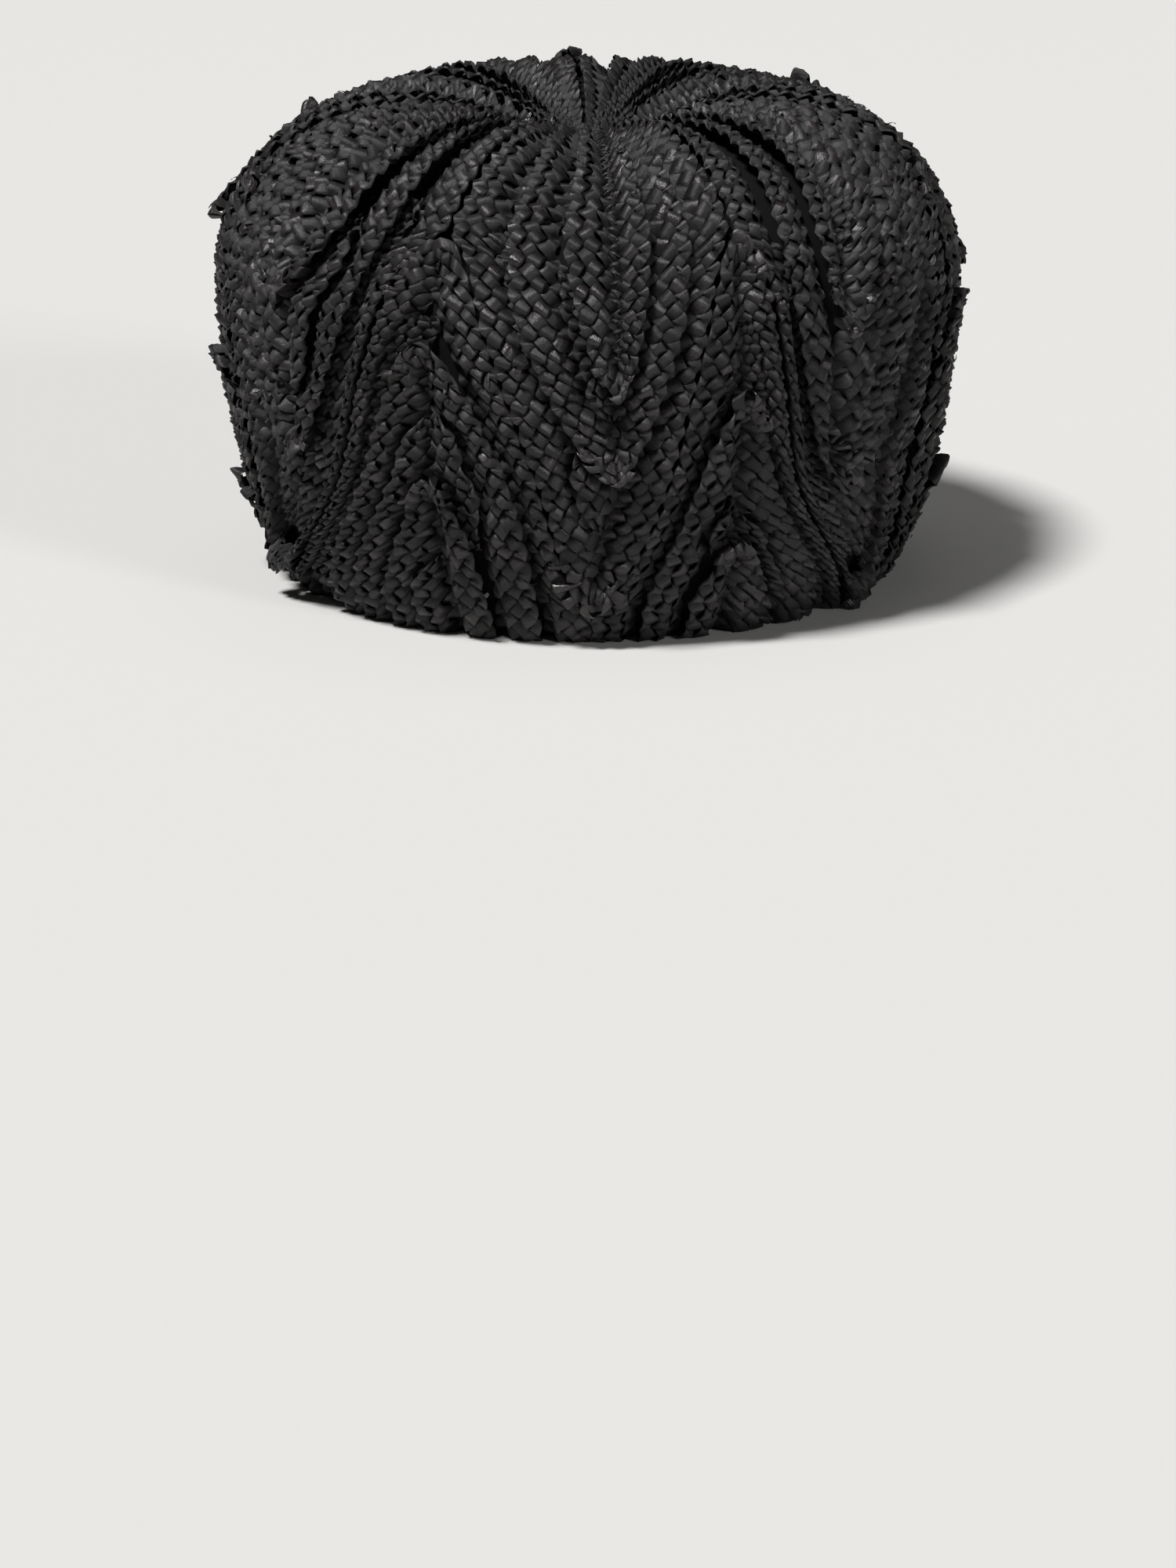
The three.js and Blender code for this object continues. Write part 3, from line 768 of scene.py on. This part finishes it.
def raffia_material():
    """Dyed black raffia ribbon: dried palm leaf, split into strips and dyed. Its smooth skin gives satin
    lights drawn across fine lengthwise fibres. Its tone carries painted shade that makes it very black where
    a ribbon dives under, where its roughness also makes it dull."""
    material, tree = new_material("raffia_braid")
    uv = add_node(tree, "ShaderNodeUVMap", {"uv_map": "fibre"})
    tone = add_node(tree, "ShaderNodeAttribute", {"attribute_name": "tone"})
    split = add_node(tree, "ShaderNodeSeparateXYZ", Vector=uv.outputs[0])
    along = add_node(tree, "ShaderNodeMath", {"operation": "MULTIPLY"},
                     i0=split.outputs[0], i1=FIBRES_ALONG / MM)
    over = add_node(tree, "ShaderNodeMath", {"operation": "MULTIPLY"},
                    i0=split.outputs[1], i1=FIBRES_ACROSS / MM)
    stretched = add_node(tree, "ShaderNodeCombineXYZ", X=along.outputs[0], Y=over.outputs[0], Z=0.0)
    fibres = add_node(tree, "ShaderNodeTexNoise",
                      Vector=stretched.outputs[0], Scale=1.0, Detail=3.0, Roughness=0.6)
    crumple = add_node(tree, "ShaderNodeTexNoise",
                       Vector=uv.outputs[0], Scale=CRUMPLES / MM, Detail=2.0, Roughness=0.5)
    height = add_node(tree, "ShaderNodeMath", {"operation": "MULTIPLY_ADD"},
                      i0=crumple.outputs["Fac"], i1=CRUMPLE_TO_FIBRE, i2=fibres.outputs["Fac"])
    bump = add_node(tree, "ShaderNodeBump",
                    Strength=0.55, Distance=FIBRE_RELIEF * MM, Height=height.outputs[0])
    mixed = add_node(tree, "ShaderNodeMath", {"operation": "MULTIPLY_ADD"},
                     i0=fibres.outputs["Fac"], i1=FIBRE_TO_TONE, i2=tone.outputs["Fac"])
    # The ramp turns the tone into colour: black in painted shade and on dark cells, a lighter black on
    # lighter cells and unshaded tops.
    colour = add_node(tree, "ShaderNodeValToRGB", Fac=mixed.outputs[0])
    shaded_and_dark, worn_and_lit = colour.color_ramp.elements
    shaded_and_dark.position, shaded_and_dark.color = 0.15, linear(RAFFIA_SHADED_AND_DARK)
    worn_and_lit.position, worn_and_lit.color = 1.0, linear(RAFFIA_WORN_AND_LIT)
    rough = add_node(tree, "ShaderNodeMapRange", Value=tone.outputs["Fac"], i3=RAFFIA_DULL, i4=RAFFIA_SATIN)
    tangent = add_node(tree, "ShaderNodeTangent", {"direction_type": "UV_MAP", "uv_map": "fibre"})
    shader = add_node(tree, "ShaderNodeBsdfPrincipled", Base_Color=colour.outputs[0],
                      Roughness=rough.outputs[0], Specular_IOR_Level=0.56, Anisotropic=0.6,
                      Anisotropic_Rotation=0.25, Tangent=tangent.outputs[0], Normal=bump.outputs[0])
    add_node(tree, "ShaderNodeOutputMaterial", Surface=shader.outputs[0])
    return material


def cloth_material():
    """Black cotton cap cloth, plain woven: matt, and hardly lighter than the gaps between the braids. Its
    weave is a sine along times a sine across."""
    material, tree = new_material("cap_cloth")
    uv = add_node(tree, "ShaderNodeUVMap", {"uv_map": "fibre"})
    split = add_node(tree, "ShaderNodeSeparateXYZ", Vector=uv.outputs[0])
    waves = []
    for axis in (0, 1):
        turned = add_node(tree, "ShaderNodeMath", {"operation": "MULTIPLY"},
                          i0=split.outputs[axis], i1=math.tau / (WEAVE_PERIOD * MM))
        waves.append(add_node(tree, "ShaderNodeMath", {"operation": "SINE"}, i0=turned.outputs[0]))
    weave = add_node(tree, "ShaderNodeMath", {"operation": "MULTIPLY"},
                     i0=waves[0].outputs[0], i1=waves[1].outputs[0])
    bump = add_node(tree, "ShaderNodeBump",
                    Strength=0.2, Distance=WEAVE_RELIEF * MM, Height=weave.outputs[0])
    shader = add_node(tree, "ShaderNodeBsdfPrincipled", Base_Color=linear(CLOTH_BLACK), Roughness=0.9,
                      Specular_IOR_Level=0.2, Normal=bump.outputs[0])
    add_node(tree, "ShaderNodeOutputMaterial", Surface=shader.outputs[0])
    return material


def floor_material():
    """Pale studio paper: matt."""
    material, tree = new_material("pale_floor")
    shader = add_node(tree, "ShaderNodeBsdfPrincipled", Base_Color=linear(FLOOR_PALE), Roughness=0.9)
    add_node(tree, "ShaderNodeOutputMaterial", Surface=shader.outputs[0])
    return material


def place_facing(thing, place, target):
    """Puts a lamp or the camera at place, its -Z turned to the target, and links it to the scene."""
    thing.location = place
    thing.rotation_mode = "QUATERNION"
    thing.rotation_quaternion = (Vector(target) - Vector(place)).to_track_quat("-Z", "Y")
    bpy.context.scene.collection.objects.link(thing)


def lamp(name, kind, place, power, softness):
    """A light at place that faces the hat."""
    data = bpy.data.lights.new(name, kind)
    data.energy = power
    for key, value in softness.items():
        setattr(data, key, value)
    place_facing(bpy.data.objects.new(name, data), place, HAT_MIDDLE)


def photo_camera():
    """The photo's camera: its frame height at the hat sets the lens, and its aim lies below the hat."""
    data = bpy.data.cameras.new("camera")
    data.sensor_width = SENSOR
    data.lens = SENSOR * CAMERA_DISTANCE / (PHOTO_HEIGHT * PIXEL * MM)
    data.clip_start, data.clip_end = 0.05, 100
    camera = bpy.data.objects.new("camera", data)
    back = Vector((0, -math.cos(CAMERA_ELEVATION), math.sin(CAMERA_ELEVATION)))
    up = Vector((0, math.sin(CAMERA_ELEVATION), math.cos(CAMERA_ELEVATION)))
    middle = Vector(HAT_MIDDLE)
    place_facing(camera, middle + back * CAMERA_DISTANCE, middle - up * (AIM_BELOW_HAT * PIXEL * MM))
    return camera


raffia, cloth = raffia_material(), cloth_material()
cap = cap_piece(cloth)
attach(cap, "root")
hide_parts("cap_shell")

for kind, families in FAMILIES.items():
    for index, family in enumerate(families):
        rng = np.random.default_rng(SEEDS[kind] + SEED_STEP * index)
        sheets = []
        for level in range(len(LEVELS)):
            sheets += loop_ribbons(kind, index, level, rng)
        if kind == "fall" and family.place == "front":
            sheets += seam_stitches(kind, index, len(LEVELS) - 1, rng)
        piece = sheet_mesh(f"{kind}_{family.place}_braid", sheets, raffia)
        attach(piece, "root")
        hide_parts(*[f"{kind}_{family.place}_{level}" for level in LEVELS])

floor_mesh = bpy.data.meshes.new("floor")
corners = [(-FLOOR_HALF, -FLOOR_HALF, 0), (FLOOR_HALF, -FLOOR_HALF, 0),
           (FLOOR_HALF, FLOOR_HALF, 0), (-FLOOR_HALF, FLOOR_HALF, 0)]
floor_mesh.from_pydata(corners, [], [(0, 1, 2, 3)])
floor = mesh_piece("floor", floor_mesh, floor_material())

for name, (kind, place, power, softness) in LAMPS.items():
    lamp(name, kind, place, power, softness)
world = bpy.data.worlds.new("room")
world.use_nodes = True
background = world.node_tree.nodes["Background"]
background.inputs["Color"].default_value = linear(ROOM_PALE)
background.inputs["Strength"].default_value = ROOM_STRENGTH
bpy.context.scene.world = world
bpy.context.scene.view_settings.view_transform = "Standard"
bpy.context.scene.camera = photo_camera()
